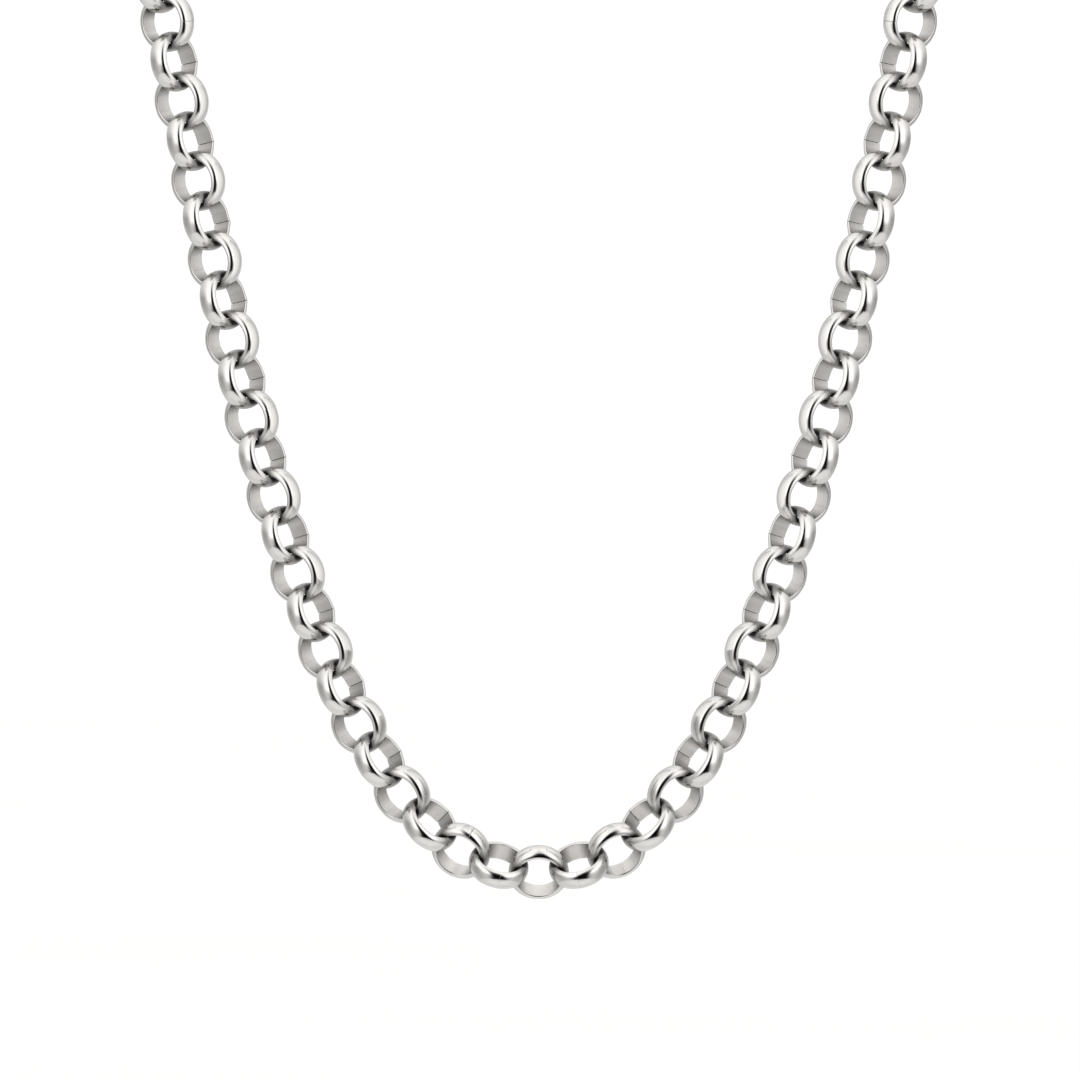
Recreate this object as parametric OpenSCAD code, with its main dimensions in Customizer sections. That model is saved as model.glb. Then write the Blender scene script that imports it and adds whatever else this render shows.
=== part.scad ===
// Rolo chain necklace: a closed loop of round half-round-wire links with a plain clasp at the nape.
// The front hangs in an upright plane facing -Y, +Z is up, and the origin is the middle of the
// clasp's inner face, where the loop rests on the back of the neck.

/* [Loop] */
// Greatest width of the loop round the neck, between link centres
neck_w = 110; // [104:1:124]
// Depth of the loop from the nape to the front plane
neck_d = 98; // [92:1:112]
// Height from the nape down to the centre of the lowest link
drop = 151; // [148:1:170]

/* [Links] */
// Outside diameter of a link
link_d = 8; // [7.4:0.1:8.6]
// Thickness of the half-round wire at its crown
wire_t = 0.94; // [0.8:0.02:1.04]
// Width of the wire's flat inner face
wire_w = 2.54; // [2.3:0.02:2.7]
// Thickness of the wire at its two edges
edge_t = 0.28; // [0.2:0.02:0.4]
// Least play between two links that are pulled straight
link_play = 0.12; // [0.12:0.01:0.3]
// Extra length that the weight pulls out of the links at the bottom of the loop, on each side
bottom_stretch = 0.5; // [0:0.1:1]
// Angle from the front plane to the plane of the lowest link and of every second link above it
lean = 35; // [30:1:45]

/* [Clasp] */
// Distance from the middle of the clasp to the middle of each eye
eye_reach = 5.5; // [4.6:0.1:8]
// Diameter of each eye
eye_d = 4; // [3.8:0.1:4.4]
// Width of metal round each eye
eye_wall = 1.3; // [1:0.1:1.6]
// Thickness of the clasp
clasp_t = 2.2; // [1.6:0.1:2.6]
// Play between the end of each eye and the link that it holds
eye_play = 0.45; // [0.4:0.05:0.6]

/* [Hidden] */

$fn = 96;

STEEL = [0.83, 0.82, 0.80];

// Right half of the route, from the lowest link to the nape. Columns: share of neck_w / 2 to the
// side, share of neck_d behind the front plane, share of drop above the lowest link. The rows with
// 0 in the middle column hang in the front plane.
ROUTE = [
    [0.000, 0.000, 0.000],
    [0.111, 0.000, 0.006],
    [0.216, 0.000, 0.024],
    [0.298, 0.000, 0.052],
    [0.357, 0.000, 0.083],
    [0.449, 0.000, 0.140],
    [0.521, 0.000, 0.202],
    [0.583, 0.000, 0.265],
    [0.638, 0.000, 0.331],
    [0.690, 0.000, 0.398],
    [0.776, 0.000, 0.533],
    [0.853, 0.000, 0.670],
    [0.914, 0.000, 0.780],
    [0.945, 0.045, 0.845],
    [0.978, 0.155, 0.903],
    [1.000, 0.330, 0.946],
    [0.975, 0.530, 0.972],
    [0.880, 0.720, 0.987],
    [0.700, 0.870, 0.995],
    [0.440, 0.965, 1.000],
    [0.160, 0.997, 1.000],
    [0.000, 1.000, 1.000]
];
// Short straight steps that each span of the route is measured in
SPAN_STEPS = 16;
// Number of links over which the bottom stretch fades
STRETCH_FADE = 1.5;
// Most by which a bend sets two links further apart than the pitch, as a share of their diameter
BEND_SPREAD = 0.01;

link_r = link_d / 2;
bore_r = link_r - wire_t;
// Radius of the arc that forms the wire's domed outer face
dome_rise = wire_t - edge_t;
dome_r = (pow(wire_w / 2, 2) + pow(dome_rise, 2)) / (2 * dome_rise);

function unit(v) = v / norm(v);
function across(p) = [-p[0], p[1], p[2]];
function in_plane(v, axle) = v - (v * axle) * axle;
function turned(v, about, angle) = cos(angle) * v + sin(angle) * cross(about, v);

// Route in millimetres, with a mirrored point past each end
nape = [0, clasp_t / 2, 0];
knots_half = [for (row = ROUTE)
    nape + [row[0] * neck_w / 2, (row[1] - 1) * neck_d, (row[2] - 1) * drop]];
last_knot = len(knots_half) - 1;
knots = [across(knots_half[1]), each knots_half, across(knots_half[last_knot - 1])];

// Direction of the smooth route at knot i, from its two neighbouring spans
function knot_slope(i) =
    let (a = knots[i] - knots[i - 1], b = knots[i + 1] - knots[i])
    (a * norm(b) / norm(a) + b * norm(a) / norm(b)) / (norm(a) + norm(b));

// Point at share t of the span that starts at knot i
function span_point(i, t) =
    let (span = norm(knots[i + 1] - knots[i]), t2 = t * t, t3 = t2 * t)
    (2 * t3 - 3 * t2 + 1) * knots[i] + (t3 - 2 * t2 + t) * span * knot_slope(i)
    + (3 * t2 - 2 * t3) * knots[i + 1] + (t3 - t2) * span * knot_slope(i + 1);

route = [
    for (i = [1:last_knot]) for (j = [0:SPAN_STEPS - 1]) span_point(i, j / SPAN_STEPS),
    knots_half[last_knot]
];
// Length of the route up to each of its points
arc = [for (i = 0, s = 0; i < len(route);
        i = i + 1, s = s + (i < len(route) ? norm(route[i] - route[i - 1]) : 0)) s];
half_len = arc[len(arc) - 1];
tables = [for (axis = [0:2]) [for (i = [0:len(route) - 1]) [arc[i], route[i][axis]]]];
function place(s) = [for (table = tables) lookup(s, table)];

// Length of the route that hangs in the front plane
front_rows = len([for (row = ROUTE) if (row[1] == 0) row]);
front_len = arc[(front_rows - 1) * SPAN_STEPS];

// Distance from the nape to the centre of the end link, whose ring bears on the end of its eye
clasp_reach = eye_reach + sqrt(pow(eye_d / 2, 2) - pow(wire_w / 2, 2))
    + sqrt(pow(bore_r, 2) - pow(clasp_t / 2, 2)) - eye_play;

// Centre distance of two links pulled straight, where the edges of one bear on the bore of the next
taut = 2 * sqrt(pow(bore_r, 2) - pow(wire_w / 2, 2));
// Length that the even spacing of one side's links fills, and the number of links that it takes
run = half_len - clasp_reach - bottom_stretch;
side_links = ceil(run / (taut - link_play - BEND_SPREAD * link_d));
pitch = run / side_links;

// Distance along the route from the lowest link to link k
function link_s(k) = k * pitch + bottom_stretch * (1 - exp(-k / STRETCH_FADE));

function station(k) = place(link_s(k));

// Links of the right half from the lowest one up. Each row holds the centre, the ring's axle and the
// step to the next centre. A ring can only swing its neighbour round its own axle, so the step stays
// in the plane of the ring, and the next ring stands square to this one but for a small twist. Each
// step goes half way to the station after the next one, which keeps the links on a smooth line.
function step_from(k, at, axle) = in_plane(station(k + 2) - at, axle) / 2;
function hung(twist) = [
    for (k = 0, at = station(0), axle = [0, cos(lean), sin(lean)], step = step_from(0, at, axle);
        k <= side_links;
        at = at + step,
        axle = turned(cross(unit(step), axle), unit(step), link_s(k) < front_len ? 0 : twist),
        k = k + 1,
        step = step_from(k, at, axle))
    [at, axle, step]
];

// Twist of each hidden link that turns the end links square to the clasp, which lies flat to the neck
free_end = hung(0)[side_links];
end_angle = atan2(free_end[1][1], free_end[1][2]);
hidden_links = len([for (k = [0:side_links]) if (link_s(k) >= front_len) k]);
link_twist = (180 * round(end_angle / 180) - end_angle) / hidden_links;
links = hung(link_twist);

module wire_section() {
    intersection() {
        translate([bore_r, -wire_w / 2]) square([wire_t, wire_w]);
        translate([link_r - dome_r, 0]) circle(r = dome_r);
    }
}

module link() {
    rotate_extrude() wire_section();
}

module placed_link(k) {
    axle = links[k][1];
    translate(links[k][0]) rotate([0, acos(axle[2]), atan2(axle[1], axle[0])]) link();
}

module chain() color(STEEL) {
    placed_link(0);
    for (k = [1:side_links]) {
        placed_link(k);
        mirror([1, 0, 0]) placed_link(k);
    }
}

// Plain oblong plate with an eye at each end, its flat inner face on the neck
module clasp() color(STEEL)
    translate(nape) rotate([90, 0, 0])
        linear_extrude(height = clasp_t, center = true) difference() {
            union() {
                square([2 * eye_reach, eye_d + 2 * eye_wall], center = true);
                for (side = [-1, 1]) translate([side * eye_reach, 0]) circle(d = eye_d + 2 * eye_wall);
            }
            for (side = [-1, 1]) translate([side * eye_reach, 0]) circle(d = eye_d);
        }

chain();
clasp();
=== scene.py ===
"""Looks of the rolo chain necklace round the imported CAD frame.

Each link is bent from half-round steel wire, mirror polished outside and left satin inside, and closed
with a butt seam. The plain clasp is a flat steel plate with eased edges.
"""

import math

import bpy
import numpy as np
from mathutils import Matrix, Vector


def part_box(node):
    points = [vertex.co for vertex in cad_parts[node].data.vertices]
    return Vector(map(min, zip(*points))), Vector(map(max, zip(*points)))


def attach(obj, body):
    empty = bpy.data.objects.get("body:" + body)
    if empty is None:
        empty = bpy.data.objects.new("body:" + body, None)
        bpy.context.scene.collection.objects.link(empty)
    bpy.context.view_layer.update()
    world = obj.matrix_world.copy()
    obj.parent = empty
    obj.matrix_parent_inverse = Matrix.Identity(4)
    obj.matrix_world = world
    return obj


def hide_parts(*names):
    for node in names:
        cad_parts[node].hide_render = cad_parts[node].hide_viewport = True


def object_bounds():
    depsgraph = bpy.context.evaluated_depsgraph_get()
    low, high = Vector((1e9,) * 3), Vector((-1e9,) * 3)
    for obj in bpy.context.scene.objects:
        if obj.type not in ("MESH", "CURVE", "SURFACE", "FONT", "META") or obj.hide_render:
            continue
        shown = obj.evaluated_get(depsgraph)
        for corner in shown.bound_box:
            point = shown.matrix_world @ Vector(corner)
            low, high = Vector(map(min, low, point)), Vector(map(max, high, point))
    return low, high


MM = 0.001  # sizes below are in millimetres unless a comment gives another unit
rng = np.random.default_rng(8)

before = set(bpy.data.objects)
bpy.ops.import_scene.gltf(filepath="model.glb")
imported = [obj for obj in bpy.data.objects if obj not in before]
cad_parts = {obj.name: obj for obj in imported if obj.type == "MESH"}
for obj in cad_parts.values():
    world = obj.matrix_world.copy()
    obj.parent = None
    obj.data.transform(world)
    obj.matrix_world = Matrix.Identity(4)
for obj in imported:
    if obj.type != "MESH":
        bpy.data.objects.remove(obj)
cad_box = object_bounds()


def linear(hex_colour):
    """Linear RGBA of an sRGB hex colour."""
    parts = [int(hex_colour[i:i + 2], 16) / 255 for i in (1, 3, 5)]
    return [c / 12.92 if c <= 0.04045 else ((c + 0.055) / 1.055) ** 2.4 for c in parts] + [1.0]


def add(tree, kind, inputs=None, **settings):
    """Adds a node with its settings. Each input gets a value, or a link from another node's output."""
    node = tree.nodes.new(kind)
    for key, value in settings.items():
        setattr(node, key, value)
    for key, value in (inputs or {}).items():
        if isinstance(value, bpy.types.NodeSocket):
            tree.links.new(value, node.inputs[key])
        else:
            node.inputs[key].default_value = value
    return node


def new_material(name):
    made = bpy.data.materials.new(name)
    made.use_nodes = True
    made.node_tree.nodes.clear()
    return made, made.node_tree


SHADE_COAT_GLOSS = 0.1  # specular level: the dark coat of painted shade hardly shines, and bare metal isn't changed by it
CONTACT_ROUGH = 0.4  # roughness of steel close against a touching link, where the painted shade lies
ROUGHEST_AT_SHADE = 0.045  # amount of painted shade at which the steel is at its roughest


def shaded_in_contacts(tree, tone, gloss, least, most):
    """Darkens a tone to a painted shade of dark brown, and dulls a gloss, where links touch and crowd each
    other.
    The painted shade starts to show at the amount called least and hides the metal at most. The
    last result is the share of bare metal."""
    # Amount of painted shade that each place of the chain gets
    contact_shade = add(tree, "ShaderNodeAttribute", attribute_name="contact_shade")
    cover = add(tree, "ShaderNodeMapRange",
                {"Value": contact_shade.outputs["Fac"], "From Min": least, "From Max": most})
    # Painted shade: the tone turns dark brown where links touch and crowd each other
    dark = add(tree, "ShaderNodeMix", {"Factor": cover.outputs["Result"], "A": tone,
                                       "B": linear("#1E1612")}, data_type="RGBA")
    dull = add(tree, "ShaderNodeMapRange", {"Value": contact_shade.outputs["Fac"], "From Min": 0.0,
                                            "From Max": ROUGHEST_AT_SHADE, "To Min": gloss, "To Max": CONTACT_ROUGH})
    bare = add(tree, "ShaderNodeMath", {0: 1.0, 1: cover.outputs["Result"]}, operation="SUBTRACT")
    return dark.outputs["Result"], dull.outputs["Result"], bare.outputs[0]


def polished_steel():
    """Stainless steel tumbled and buffed to a mirror: long soft waves from the buffing wheel bend the
    reflections a little, and faint hairlines run round the wire."""
    made, tree = new_material("polished stainless steel")
    wire = add(tree, "ShaderNodeUVMap", uv_map="wire")  # millimetres along and across the wire
    # The wheel leaves waves about 2.5 mm long
    waves = add(tree, "ShaderNodeTexNoise", {"Vector": wire.outputs["UV"], "Scale": 0.4, "Detail": 1.0})
    # Real hairlines are about 0.01 mm apart; these are 0.12 mm apart so that they show
    stretch = add(tree, "ShaderNodeMapping", {"Vector": wire.outputs["UV"], "Scale": (0.25, 8.0, 1.0)})
    hairlines = add(tree, "ShaderNodeTexNoise",
                    {"Vector": stretch.outputs["Vector"], "Scale": 1.0, "Detail": 3.0})
    tone = add(tree, "ShaderNodeMix", {"Factor": waves.outputs["Fac"], "A": linear("#C3C0BD"),
                                       "B": linear("#CBC9C6")}, data_type="RGBA")
    gloss = add(tree, "ShaderNodeMapRange", {"Value": hairlines.outputs["Fac"], "From Min": 0.3,
                                             "From Max": 0.7, "To Min": 0.09, "To Max": 0.14})
    # Painted shade darkens the polished steel where links touch and crowd each other
    tone, gloss, bare = shaded_in_contacts(tree, tone.outputs["Result"], gloss.outputs["Result"], 0.05, 0.42)
    wavy = add(tree, "ShaderNodeBump", {"Height": waves.outputs["Fac"], "Strength": 1.0,
                                        "Distance": 0.01 * MM})
    lined = add(tree, "ShaderNodeBump", {"Height": hairlines.outputs["Fac"], "Strength": 0.5,
                                         "Distance": 0.002 * MM, "Normal": wavy.outputs["Normal"]})
    steel = add(tree, "ShaderNodeBsdfPrincipled", {
        "Base Color": tone, "Metallic": bare, "Roughness": gloss, "Specular IOR Level": SHADE_COAT_GLOSS,
        "Normal": lined.outputs["Normal"]})
    add(tree, "ShaderNodeOutputMaterial", {"Surface": steel.outputs["BSDF"]})
    return made


def satin_steel():
    """The wire's drawn inner face, which no buffing wheel reaches: drawing lines run along the wire and
    blur what it reflects to a soft grey."""
    made, tree = new_material("drawn satin stainless steel")
    wire = add(tree, "ShaderNodeUVMap", uv_map="wire")
    # Real drawing lines are about 0.02 mm apart; these are 0.1 mm apart so that they show
    stretch = add(tree, "ShaderNodeMapping", {"Vector": wire.outputs["UV"], "Scale": (0.35, 10.0, 1.0)})
    lines = add(tree, "ShaderNodeTexNoise",
                {"Vector": stretch.outputs["Vector"], "Scale": 1.0, "Detail": 4.0})
    # Bending squeezes the inner face into faint blotches about 1 mm across
    blotches = add(tree, "ShaderNodeTexNoise", {"Vector": wire.outputs["UV"], "Scale": 1.0, "Detail": 2.0})
    tone = add(tree, "ShaderNodeMix", {"Factor": blotches.outputs["Fac"], "A": linear("#C0BDB9"),
                                       "B": linear("#C9C6C3")}, data_type="RGBA")
    gloss = add(tree, "ShaderNodeMapRange", {"Value": lines.outputs["Fac"], "From Min": 0.3,
                                             "From Max": 0.7, "To Min": 0.32, "To Max": 0.4})
    # Painted shade darkens the satin inner face where links touch and crowd each other
    tone, gloss, bare = shaded_in_contacts(tree, tone.outputs["Result"], gloss.outputs["Result"], 0.1, 0.34)
    lined = add(tree, "ShaderNodeBump", {"Height": lines.outputs["Fac"], "Strength": 0.3,
                                         "Distance": 0.002 * MM})
    steel = add(tree, "ShaderNodeBsdfPrincipled", {
        "Base Color": tone, "Metallic": bare, "Roughness": gloss, "Specular IOR Level": SHADE_COAT_GLOSS,
        "Normal": lined.outputs["Normal"]})
    add(tree, "ShaderNodeOutputMaterial", {"Surface": steel.outputs["BSDF"]})
    return made


def seam_steel():
    """The sheared wire ends in a butt seam: rough, dull and darkened by polishing dirt."""
    made, tree = new_material("sheared steel in the butt seam")
    wire = add(tree, "ShaderNodeUVMap", uv_map="wire")
    # Shear marks are about 0.1 mm apart
    marks = add(tree, "ShaderNodeTexNoise", {"Vector": wire.outputs["UV"], "Scale": 10.0, "Detail": 2.0})
    tone = add(tree, "ShaderNodeMix", {"Factor": marks.outputs["Fac"], "A": linear("#2A2623"),
                                       "B": linear("#4A4540")}, data_type="RGBA")
    steel = add(tree, "ShaderNodeBsdfPrincipled", {
        "Base Color": tone.outputs["Result"], "Metallic": 1.0, "Roughness": 0.55})
    add(tree, "ShaderNodeOutputMaterial", {"Surface": steel.outputs["BSDF"]})
    return made


POLISHED, SATIN, SEAM = FINISHES = polished_steel(), satin_steel(), seam_steel()


LINK_R = 3.985  # just under the CAD link's 4 mm, whose facets cut inside the round
BORE_R = 3.03
WIRE_W = 2.54
CROWN_R = 2.12  # arc along the middle of the domed outer face
SHOULDER_R = 0.72  # tighter arc from there down to each edge
INNER_HOLLOW = 0.07  # depth by which the drawn inner face is hollowed along its middle
BORE_FACING = 0.98  # share of a normal that faces the ring's axle all over the inner face
CORNER_R = 0.06  # rounding of the wire's inner corners
EDGE_R = 0.22  # gentler rounding from each corner over the wire's thin edge
EDGE_FROM = 126  # degrees in the section at which the one rounding runs into the other
SHADE_REACH = 2.4  # distance from a touching link that the painted shade reaches
SHADE_FALL = 1.6  # power at which the painted shade thins out towards that distance
SHADE_WIDTH = 1.6  # reach of the full painted shade to each side of the middle of the link that holds it
SHADE_EDGE = 0.8  # stretch over which the full painted shade ends there
SHADE_THIN = 0.12  # share of the painted shade that is left beyond that
SEAM_REACH = math.radians(25)  # stretch on each side of the seam that a mismatch of the ends fades over
SEAM_COLUMNS = 2  # columns of the mesh on each side of a seam's middle that show its dark inside
FULL_SEAM = 0.05  # open width from which a seam sinks in by its full depth


def arc(centre, radius, start, stop, steps):
    """Points and outward normals of an arc in the section, from one angle to another, in degrees."""
    a = np.radians(np.linspace(start, stop, steps + 1))
    normal = np.stack([np.cos(a), np.sin(a)], -1)
    return np.hstack([np.array(centre) + radius * normal, normal])


def wire_section():
    """Closed outline of the half-round wire. Columns: distance from the ring's axle, place along the
    axle, and the outward normal in the same two directions."""
    half = WIRE_W / 2
    crown = LINK_R - CROWN_R
    shoulder_up = half - SHOULDER_R
    shoulder_out = math.sqrt((CROWN_R - SHOULDER_R) ** 2 - shoulder_up ** 2)
    meet = math.degrees(math.atan2(shoulder_up, shoulder_out))
    join = math.radians(EDGE_FROM)
    corner = (BORE_R + CORNER_R, half - EDGE_R + (EDGE_R - CORNER_R) * math.sin(join))
    edge = (corner[0] - (EDGE_R - CORNER_R) * math.cos(join), half - EDGE_R)
    share = np.linspace(-1, 1, 9)[1:-1]
    slope = 2 * INNER_HOLLOW / corner[1] * share
    bore = np.stack([BORE_R + INNER_HOLLOW * (1 - share ** 2), share * corner[1], -np.cos(slope),
                     -np.sin(slope)], -1)
    upper = np.vstack([
        arc(corner, CORNER_R, 180, EDGE_FROM, 2)[:-1],
        arc(edge, EDGE_R, EDGE_FROM, 90, 3),
        arc((crown + shoulder_out, shoulder_up), SHOULDER_R, 80, meet, 7)[:-1],
        arc((crown, 0), CROWN_R, meet, 0, 5),
    ])
    lower = (upper * [1, -1, 1, -1])[::-1][1:]
    return np.vstack([bore, upper, lower])


SECTION = wire_section()


def ring_columns(gap):
    """Angles round a link from its seam, with the share of the section that the seam leaves there and
    the tilt of the normals into the gap. The first columns are the seam's floor, its walls and its lips."""
    near = np.array([0.35 * gap, 0.5 * gap, 1.4 * gap, 0.35, 0.65]) / LINK_R
    far = np.linspace(near[-1], math.pi, 41)[1:]
    side = np.concatenate([near, far])
    angles = np.concatenate([[0], side, -side[:-1][::-1]])
    left = np.ones(len(angles))
    tilt = np.zeros(len(angles))
    left[[0, 1, 2, -1, -2]] = 0.78, 0.88, 0.985, 0.88, 0.985
    left = 1 - (1 - left) * min(gap / FULL_SEAM, 1)
    tilt[[1, 2, -1, -2]] = np.radians([-65, -40, 65, 40])
    return angles, left, tilt


def link_mesh(centre, axle, seam_way, gap, notch, kink, step, slip):
    """Points and normals of one link, the points in metres. The wire's ends meet at seam_way: gap
    is the open width at the bore and notch how much wider it is at the crown, kink the angle at which each
    end runs straight on, step and slip how far the ends miss each other outward and along the axle."""
    angles, left, tilt = ring_columns(gap)
    middle = np.array([(SECTION[:, 0].min() + SECTION[:, 0].max()) / 2, 0])
    points = middle + (SECTION[:, :2] - middle) * left[:, None, None]
    fade = np.cos(np.clip(np.abs(angles) / SEAM_REACH, 0, 1) * math.pi / 2) ** 2 * np.sign(angles)
    straight = np.clip(kink - np.abs(angles), 0, None)
    out = points[..., 0] / np.cos(straight)[:, None] + step * fade[:, None]
    along = points[..., 1] + slip * fade[:, None]
    e1 = seam_way
    e2 = np.cross(axle, e1)
    height = (points[..., 0] - BORE_R) / (LINK_R - BORE_R)
    turn = angles[:, None] + fade[:, None] * height * notch / LINK_R
    ray = np.cos(turn)[..., None] * e1 + np.sin(turn)[..., None] * e2
    # The dome's shoulders stand 0.07 mm outside the CAD's rounder dome, so the outermost ones are eased
    places = np.clip((centre + out[..., None] * ray + along[..., None] * axle) * MM, *cad_box)
    lean = angles + straight * np.sign(angles) + tilt
    face = np.cos(lean)[:, None] * e1 + np.sin(lean)[:, None] * e2
    normals = SECTION[None, :, 2, None] * face[:, None] + SECTION[None, :, 3, None] * axle
    return places, normals


def contact_shade_on(places, normals, others):
    """How much painted shade each place gets: all of it right against another link's wire, none at the
    shade's full reach, less where the surface faces away from that wire, and only a thin share where this
    wire comes out of the other link's hole. Each of the others is its centre and axle."""
    shading = np.zeros(len(places))
    for centre, axle in others:
        off = places / MM - centre
        up = off @ axle
        ray = off - up[:, None] * axle
        out = np.linalg.norm(ray, axis=1)
        past = out - (BORE_R + LINK_R) / 2
        beside = np.clip(np.abs(past) - (LINK_R - BORE_R) / 2, 0, None)
        above = np.clip(np.abs(up) - WIRE_W / 2, 0, None)
        near = np.clip(1 - np.hypot(beside, above) / SHADE_REACH, 0, 1)
        to_wire = -(past / out)[:, None] * ray - up[:, None] * axle
        to_wire /= np.linalg.norm(to_wire, axis=1)[:, None]
        facing = np.sum(normals * to_wire, axis=1)
        in_hole = np.clip((SHADE_WIDTH - np.abs(up)) / SHADE_EDGE, 0, 1)
        thick = SHADE_THIN + (1 - SHADE_THIN) * np.maximum(in_hole, np.clip(2 * facing - 1, 0, 1))
        # Painted shade, strongest right against the other wire and on faces turned towards it
        shading = np.maximum(shading, near ** SHADE_FALL * np.clip(0.8 + 0.3 * facing, 0, 1) * thick)
    return shading


def link_faces():
    """Corners and wire coordinates of one link's faces, and the finish of each as a number in FINISHES.
    The grain is laid out for a wide seam, and a narrower one moves it by a hundredth of a millimetre."""
    angles = ring_columns(0.1)[0]
    cols, rows = len(angles), len(SECTION)
    j, i = np.meshgrid(np.arange(cols), np.arange(rows), indexing="ij")
    j2, i2 = (j + 1) % cols, (i + 1) % rows
    quads = np.stack([j * rows + i, j * rows + i2, j2 * rows + i2, j2 * rows + i], -1).reshape(-1, 4)
    round_way = np.append(np.where(angles < 0, angles + 2 * math.pi, angles), 2 * math.pi) * LINK_R
    steps = np.linalg.norm(np.diff(np.vstack([SECTION, SECTION[:1]])[:, :2], axis=0), axis=1)
    across = np.append(0, np.cumsum(steps))
    uv = np.stack([
        np.stack([round_way[j], across[i]], -1), np.stack([round_way[j], across[i + 1]], -1),
        np.stack([round_way[j + 1], across[i + 1]], -1), np.stack([round_way[j + 1], across[i]], -1),
    ], 2).reshape(-1, 4, 2)
    bore = (SECTION[i, 2] < -BORE_FACING) & (SECTION[i2, 2] < -BORE_FACING)
    in_seam = (j < SEAM_COLUMNS) | (j >= cols - SEAM_COLUMNS)
    finish = np.where(in_seam, FINISHES.index(SEAM), np.where(
        bore, FINISHES.index(SATIN), FINISHES.index(POLISHED))).reshape(-1)
    return quads, uv, finish


def loose_rings(mesh):
    """Centre and axle of each loose ring in the chain's solid, in millimetres. Corners at one spot are
    joined first, and then each ring's spots all take the least number among them."""
    corners = np.empty(len(mesh.vertices) * 3)
    mesh.vertices.foreach_get("co", corners)
    spots, spot = np.unique(np.round(corners.reshape(-1, 3) / MM, 4), axis=0, return_inverse=True)
    mesh.calc_loop_triangles()
    tris = np.empty(len(mesh.loop_triangles) * 3, np.int32)
    mesh.loop_triangles.foreach_get("vertices", tris)
    tris = spot.reshape(-1)[tris].reshape(-1, 3)
    ring = np.arange(len(spots))
    while True:
        least = ring[tris].min(1)
        new = ring.copy()
        for c in range(3):
            np.minimum.at(new, tris[:, c], least)
        new = new[new]
        if (new == ring).all():
            break
        ring = new
    found, owner = np.unique(ring[tris[:, 0]], return_inverse=True)
    a, b, c = (spots[tris[:, n]] for n in range(3))
    area = np.linalg.norm(np.cross(b - a, c - a), axis=1)
    mid = (a + b + c) / 3
    weight = np.bincount(owner, area)
    centres = np.stack([np.bincount(owner, area * mid[:, n]) for n in range(3)], -1) / weight[:, None]
    off = mid - centres[owner]
    axles = []
    for n in range(len(found)):
        rows = owner == n
        spread = (off[rows] * area[rows, None]).T @ off[rows]
        axles.append(np.linalg.eigh(spread)[1][:, 0])
    return centres, np.array(axles)


def strand(centres, start, side):
    """Ring numbers from the lowest one up one side of the loop to the clasp."""
    left = [n for n in range(len(centres)) if centres[n, 0] * side > 0 and n != start]
    order = [start]
    while left:
        order.append(min(left, key=lambda n: np.linalg.norm(centres[n] - centres[order[-1]])))
        left.remove(order[-1])
    return order


centres, axles = loose_rings(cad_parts["chain"].data)
lowest = int(centres[:, 2].argmin())
strands = {side: strand(centres, lowest, side) for side in (-1, 1)}
FRONT_Y = centres[lowest, 1]
BEND_BACK = 10  # distance behind the front plane from which a link counts as lying round the neck

# Links whose seam shows on the near side in the front view, by side and place above the lowest link:
# the degrees that the seam stands below the middle of the link, and its open width
NEAR_SEAMS = {
    (-1, 1): (10, 0.008), (1, 1): (10, 0.008), (-1, 2): (0, 0.04), (-1, 14): (-10, 0.01),
    (-1, 24): (12, 0.04), (1, 24): (12, 0.04),
}


def hang(side, k):
    """What link_mesh needs for link k above the lowest one on a strand, and the link's neighbours. Seams
    stand on the side that faces away, a little below the middle. Every second one is wide, notched and
    kinked, as where the wire was cut short, and the others are closed tight."""
    order = strands[side]
    n = order[k]
    after = order[k + 1] if k + 1 < len(order) else n
    before = order[k - 1] if k else strands[-side][1]
    others = [(centres[m], axles[m]) for m in (before, after) if m != n]
    down = centres[before] - centres[after]
    axle = axles[n] * (1 if axles[n][1] < 0 else -1)
    down = down - axle * (down @ axle)
    down /= np.linalg.norm(down)
    to_side = np.cross(axle, down)
    behind = np.array([0, 1.0, 0])
    if centres[n, 1] > FRONT_Y + BEND_BACK:
        behind = np.array([0, FRONT_Y / 2, 0]) - centres[n] * [1, 1, 0]
    if to_side @ behind < 0:
        to_side = -to_side
    if (side, k) in NEAR_SEAMS:
        to_side = -to_side
    below, gap = rng.uniform(6, 14) if k else 70, rng.uniform(0.006, 0.012)
    wide = k % 2 == 1
    if wide:
        gap = rng.uniform(0.08, 0.11)
    if (side, k) in NEAR_SEAMS:
        wide = False
        below, gap = NEAR_SEAMS[side, k]
    below = math.radians(below)
    seam_way = math.cos(below) * to_side + math.sin(below) * down
    notch = rng.uniform(0.05, 0.09) if wide else rng.uniform(0.0, 0.015)
    kink = math.radians(rng.uniform(13, 18) if wide else rng.uniform(0, 2))
    step, slip = rng.uniform(-0.01, 0.01), rng.uniform(-0.03, 0.03)
    return (centres[n], axle, seam_way, gap, notch, kink, step, slip), others


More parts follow.
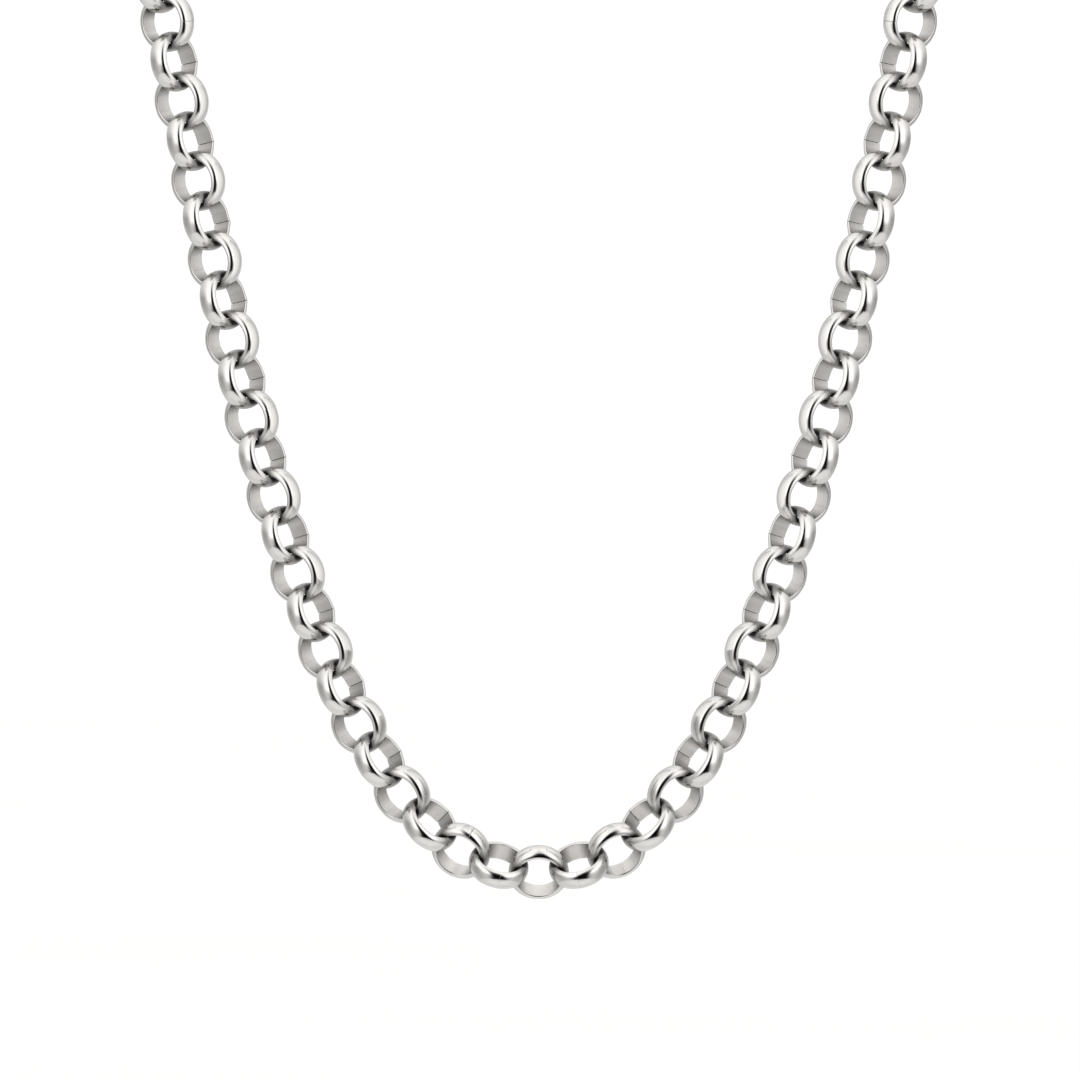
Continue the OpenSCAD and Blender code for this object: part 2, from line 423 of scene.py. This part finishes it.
def links_piece(name, hung):
    """One piece of the chain, made of the links in hung."""
    quads, uv, finish = link_faces()
    places, normals, faces, coords, contact_shade = [], [], [], [], []
    for count, (link, others) in enumerate(hung):
        p, n = link_mesh(*link)
        # Painted shade for each link where it touches and crowds its neighbours
        contact_shade.append(contact_shade_on(p.reshape(-1, 3), n.reshape(-1, 3), others))
        faces.append(quads + count * p.shape[0] * p.shape[1])
        places.append(p.reshape(-1, 3))
        normals.append(n.reshape(-1, 3))
        coords.append(uv + rng.uniform(0, 200, 2))  # its own stretch of the grain
    mesh = bpy.data.meshes.new(name)
    mesh.from_pydata(np.vstack(places).tolist(), [], np.vstack(faces).tolist())
    for steel in FINISHES:
        mesh.materials.append(steel)
    mesh.polygons.foreach_set("material_index", np.tile(finish, len(hung)).astype(np.int32))
    mesh.polygons.foreach_set("use_smooth", np.ones(len(mesh.polygons), bool))
    mesh.uv_layers.new(name="wire").data.foreach_set("uv", np.vstack(coords).reshape(-1))
    # Stores the painted shade at each point for the materials
    mesh.attributes.new("contact_shade", "FLOAT", "POINT").data.foreach_set("value", np.concatenate(contact_shade))
    mesh.normals_split_custom_set_from_vertices(np.vstack(normals).tolist())
    piece = bpy.data.objects.new(name, mesh)
    bpy.context.scene.collection.objects.link(piece)
    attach(piece, "root")
    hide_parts("chain")


# Places above the lowest link at which the next piece of the chain starts
FRONT_FROM, NECK_FROM, STRAND_END = 11, 31, len(strands[1])
links_piece("lowest_links", [hang(1, k) for k in range(FRONT_FROM)]
            + [hang(-1, k) for k in range(1, FRONT_FROM)])
for side, word in ((-1, "left"), (1, "right")):
    links_piece(f"front_links_{word}", [hang(side, k) for k in range(FRONT_FROM, NECK_FROM)])
    links_piece(f"neck_links_{word}", [hang(side, k) for k in range(NECK_FROM, STRAND_END)])


CLASP_EASE = 0.25  # rounding of all the clasp's edges
CLASP_EYE_R = 2.0


def clasp_arc(x, radius, start, stop, count):
    """Points of an arc round (x, 0), in the clasp's plane, in metres, from one angle to another."""
    turn = np.radians(np.linspace(start, stop, count))
    return [(x * MM + radius * MM * math.cos(a), radius * MM * math.sin(a)) for a in turn]


def clasp_piece():
    """The plain clasp: an oblong plate with an eye at each end and eased edges, drawn as one outline."""
    low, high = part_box("clasp")
    thick, wide, tall = ((high - low)[n] / MM for n in (1, 0, 2))
    end_r = tall / 2
    reach = wide / 2 - end_r
    curve = bpy.data.curves.new("clasp", "CURVE")
    curve.dimensions, curve.fill_mode = "2D", "BOTH"
    curve.extrude = (thick / 2 - CLASP_EASE) * MM
    curve.bevel_depth, curve.bevel_resolution, curve.offset = CLASP_EASE * MM, 3, -CLASP_EASE * MM
    outlines = [
        clasp_arc(reach, end_r, -90, 90, 33) + clasp_arc(-reach, end_r, 90, 270, 33),
        clasp_arc(reach, CLASP_EYE_R, 0, 352.5, 48),
        clasp_arc(-reach, CLASP_EYE_R, 0, 352.5, 48),
    ]
    for outline in outlines:
        spline = curve.splines.new("POLY")
        spline.points.add(len(outline) - 1)
        for point, (x, y) in zip(spline.points, outline):
            point.co = (x, y, 0, 1)
        spline.use_cyclic_u = True
    drawn = bpy.data.objects.new("clasp_outline", curve)
    bpy.context.scene.collection.objects.link(drawn)
    bpy.context.view_layer.update()
    mesh = bpy.data.meshes.new_from_object(drawn.evaluated_get(bpy.context.evaluated_depsgraph_get()))
    bpy.data.objects.remove(drawn)
    mesh.name = "clasp_plate"
    corners = np.empty(len(mesh.vertices) * 3)
    mesh.vertices.foreach_get("co", corners)
    x, y, z = corners.reshape(-1, 3).T
    middle = (low + high) / 2
    mesh.vertices.foreach_set("co", np.stack([x, middle[1] - z, y + middle[2]], -1).reshape(-1))
    mesh.materials.clear()
    mesh.materials.append(POLISHED)
    coords = mesh.uv_layers.get("wire") or mesh.uv_layers.new(name="wire")
    loops = np.empty(len(mesh.loops), np.int32)
    mesh.loops.foreach_get("vertex_index", loops)
    coords.data.foreach_set("uv", (np.stack([x, y], -1)[loops] / MM).reshape(-1))
    flat = np.empty(len(mesh.polygons) * 3)
    mesh.polygons.foreach_get("normal", flat)
    mesh.polygons.foreach_set("use_smooth", np.abs(flat.reshape(-1, 3)[:, 1]) < 0.999)
    mesh.update()
    piece = bpy.data.objects.new("clasp_plate", mesh)
    bpy.context.scene.collection.objects.link(piece)
    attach(piece, "root")
    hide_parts("clasp")


clasp_piece()


FLOOR_Z = -200 * MM  # well below the lowest link, because the necklace hangs from the neck


def stage_mesh(name, places, faces, material):
    mesh = bpy.data.meshes.new(name)
    mesh.from_pydata(places, [], faces)
    mesh.materials.append(material)
    thing = bpy.data.objects.new(name, mesh)
    bpy.context.scene.collection.objects.link(thing)
    return thing


def studio_floor():
    """A pale matte table top."""
    made, tree = new_material("pale matte floor")
    speckle = add(tree, "ShaderNodeTexNoise", {"Scale": 400.0, "Detail": 2.0})
    tone = add(tree, "ShaderNodeMix", {"Factor": speckle.outputs["Fac"], "A": linear("#F8F8F7"),
                                       "B": linear("#FBFBFA")}, data_type="RGBA")
    paper = add(tree, "ShaderNodeBsdfPrincipled", {"Base Color": tone.outputs["Result"],
                                                   "Roughness": 0.9, "Specular IOR Level": 0.0})
    add(tree, "ShaderNodeOutputMaterial", {"Surface": paper.outputs["BSDF"]})
    reach = 40.0  # metres
    floor = stage_mesh("floor", [(-reach, -reach, FLOOR_Z), (reach, -reach, FLOOR_Z),
                                 (reach, reach, FLOOR_Z), (-reach, reach, FLOOR_Z)],
                       [(0, 1, 2, 3)], made)
    floor.visible_glossy = False


def only_mirrored(thing):
    """Lets a light be seen in reflections and nowhere else."""
    for kind in ("camera", "diffuse", "transmission", "volume_scatter", "shadow"):
        setattr(thing, "visible_" + kind, False)


# What the polished steel mirrors. Each row is a height above the level in degrees and the brightness
# there, as marks of degrees off the lens and the share of white that the steel shows of it.
TENT_BANDS = [
    (-58, [(0, 0.72), (60, 0.72), (120, 0.6), (180, 0.66)]),
    (-44, [(0, 0.50), (20, 0.6), (40, 0.7), (90, 0.6), (180, 0.66)]),
    (-38, [(0, 0.003), (28, 0.006), (37, 0.25), (52, 0.5), (90, 0.42), (180, 0.6)]),
    (-14, [(0, 0.002), (19, 0.003), (25, 0.1), (32, 0.42), (42, 0.6), (60, 0.55), (80, 0.36),
           (105, 0.32), (140, 0.56), (160, 0.45), (180, 0.3)]),
    (4, [(0, 0.002), (17, 0.004), (22, 0.2), (27, 0.85), (35, 1.25), (50, 1.2), (66, 0.62),
         (84, 0.32), (108, 0.3), (140, 0.5), (160, 0.42), (180, 0.3)]),
    (30, [(0, 0.015), (12, 0.03), (20, 0.45), (28, 1.05), (56, 1.15), (72, 0.9), (92, 0.7), (120, 0.6),
          (180, 0.45)]),
    (54, [(0, 0.32), (16, 0.5), (30, 0.85), (60, 1.0), (90, 0.95), (120, 0.85), (180, 0.8)]),
    (78, [(0, 0.75), (60, 1.0), (90, 1.0), (180, 0.8)]),
]
PANEL_BRIGHT = 1.3  # brightest mark
STEEL_GREY = 0.56  # share of the light that the steel gives back
SLOT_AZ = 6.0  # degrees that the lens's dark slot stands to the right
TENT_R = 6.0  # metres
TENT_Z = -0.1  # metres: about half way down the front strands


def light_tent():
    """The wide white tent that the polished steel mirrors, seen only in its reflections: a dark slot for
    the lens, a bright panel on each side of it, and grey walls beyond."""
    made, tree = new_material("light tent")
    place = add(tree, "ShaderNodeTexCoord")
    parts = add(tree, "ShaderNodeSeparateXYZ", {"Vector": place.outputs["Object"]})
    front = add(tree, "ShaderNodeMath", {0: parts.outputs["Y"], 1: -1.0}, operation="MULTIPLY")
    turn = add(tree, "ShaderNodeMath", {0: parts.outputs["X"], 1: front.outputs[0]}, operation="ARCTAN2")
    wide = add(tree, "ShaderNodeMath", {0: turn.outputs[0]}, operation="ABSOLUTE")
    share = add(tree, "ShaderNodeMath", {0: wide.outputs[0], 1: 1 / math.pi}, operation="MULTIPLY")
    length = add(tree, "ShaderNodeVectorMath", {0: place.outputs["Object"]}, operation="LENGTH")
    sine = add(tree, "ShaderNodeMath", {0: parts.outputs["Z"], 1: length.outputs["Value"]},
               operation="DIVIDE")
    rise = add(tree, "ShaderNodeMath", {0: sine.outputs[0]}, operation="ARCSINE")
    glow, below = None, None
    for height, marks in TENT_BANDS:
        ramp = add(tree, "ShaderNodeValToRGB", {"Fac": share.outputs[0]})
        stops = ramp.color_ramp.elements
        while len(stops) < len(marks):
            stops.new(0.5)
        for stop, (degrees, bright) in zip(stops, marks):
            stop.position, stop.color = degrees / 180, [bright / PANEL_BRIGHT] * 3 + [1]
        if glow is None:
            glow = ramp.outputs["Color"]
        else:
            share_up = add(tree, "ShaderNodeMapRange", {
                "Value": rise.outputs[0], "From Min": math.radians(below), "From Max": math.radians(height)})
            mixed = add(tree, "ShaderNodeMix", {"Factor": share_up.outputs["Result"], "A": glow,
                                                "B": ramp.outputs["Color"]}, data_type="RGBA")
            glow = mixed.outputs["Result"]
        below = height
    shine = add(tree, "ShaderNodeEmission", {"Color": glow, "Strength": PANEL_BRIGHT / STEEL_GREY})
    add(tree, "ShaderNodeOutputMaterial", {"Surface": shine.outputs["Emission"]})
    rings, turns = 24, 48
    places = [(TENT_R * math.sin(math.pi * i / rings) * math.cos(2 * math.pi * j / turns),
               TENT_R * math.sin(math.pi * i / rings) * math.sin(2 * math.pi * j / turns),
               TENT_R * math.cos(math.pi * i / rings)) for i in range(rings + 1) for j in range(turns)]
    faces = [(i * turns + j, (i + 1) * turns + j, (i + 1) * turns + (j + 1) % turns,
              i * turns + (j + 1) % turns) for i in range(rings) for j in range(turns)]
    tent = stage_mesh("light_tent", places, faces, made)
    tent.location = (0, FRONT_Y * MM, TENT_Z)
    tent.rotation_euler = (0, 0, math.radians(SLOT_AZ))
    only_mirrored(tent)


CARD_REACH = 30.0  # distance that the card stands out in front of and behind the front plane
CARD_LOW, CARD_HIGH = -122.0, -8.0  # heights of its two level edges
# Brightness of the card from its front edge to its back edge
CARD_MARKS = [(0.0, 1.0), (0.5, 0.78), (1.0, 0.42)]


def inner_card():
    """A white card between the two strands, which brightens the sides that face each other."""
    made, tree = new_material("white card between the strands")
    place = add(tree, "ShaderNodeTexCoord")
    parts = add(tree, "ShaderNodeSeparateXYZ", {"Vector": place.outputs["Generated"]})
    ramp = add(tree, "ShaderNodeValToRGB", {"Fac": parts.outputs["Y"]})
    stops = ramp.color_ramp.elements
    stops.new(0.5)
    for stop, (share, bright) in zip(stops, CARD_MARKS):
        stop.position, stop.color = share, [bright] * 3 + [1]
    shine = add(tree, "ShaderNodeEmission", {"Color": ramp.outputs["Color"], "Strength": 1 / STEEL_GREY})
    add(tree, "ShaderNodeOutputMaterial", {"Surface": shine.outputs["Emission"]})
    front, back = (FRONT_Y - CARD_REACH) * MM, (FRONT_Y + CARD_REACH) * MM
    low, high = CARD_LOW * MM, CARD_HIGH * MM
    card = stage_mesh("inner_card", [(0, front, low), (0, back, low), (0, back, high), (0, front, high)],
                      [(0, 1, 2, 3)], made)
    only_mirrored(card)


studio_floor()
light_tent()
inner_card()

ROOM_BRIGHT = 1.06  # just past white, so that the backdrop comes out white
world = bpy.data.worlds.new("white studio")
world.use_nodes = True
backdrop = world.node_tree.nodes["Background"]
backdrop.inputs["Color"].default_value = (1, 1, 1, 1)
backdrop.inputs["Strength"].default_value = ROOM_BRIGHT
bpy.context.scene.world = world
bpy.context.scene.view_settings.view_transform = "Standard"

# The front plane is photographed square on with a long lens
FRAME_WIDTH = 142.4 * MM  # width of the picture in the front plane
LENS_AWAY = 1.2  # metres
LENS_X, LENS_Z = 0.17 * MM, -107.2 * MM  # middle of the picture
lens = bpy.data.cameras.new("long_lens")
lens.sensor_width = 36
lens.lens = lens.sensor_width * LENS_AWAY / FRAME_WIDTH
lens.clip_start, lens.clip_end = 0.01, 200
camera = bpy.data.objects.new("long_lens", lens)
bpy.context.scene.collection.objects.link(camera)
camera.location = (LENS_X, FRONT_Y * MM - LENS_AWAY, LENS_Z)
camera.rotation_euler = (math.pi / 2, 0, 0)
bpy.context.scene.camera = camera
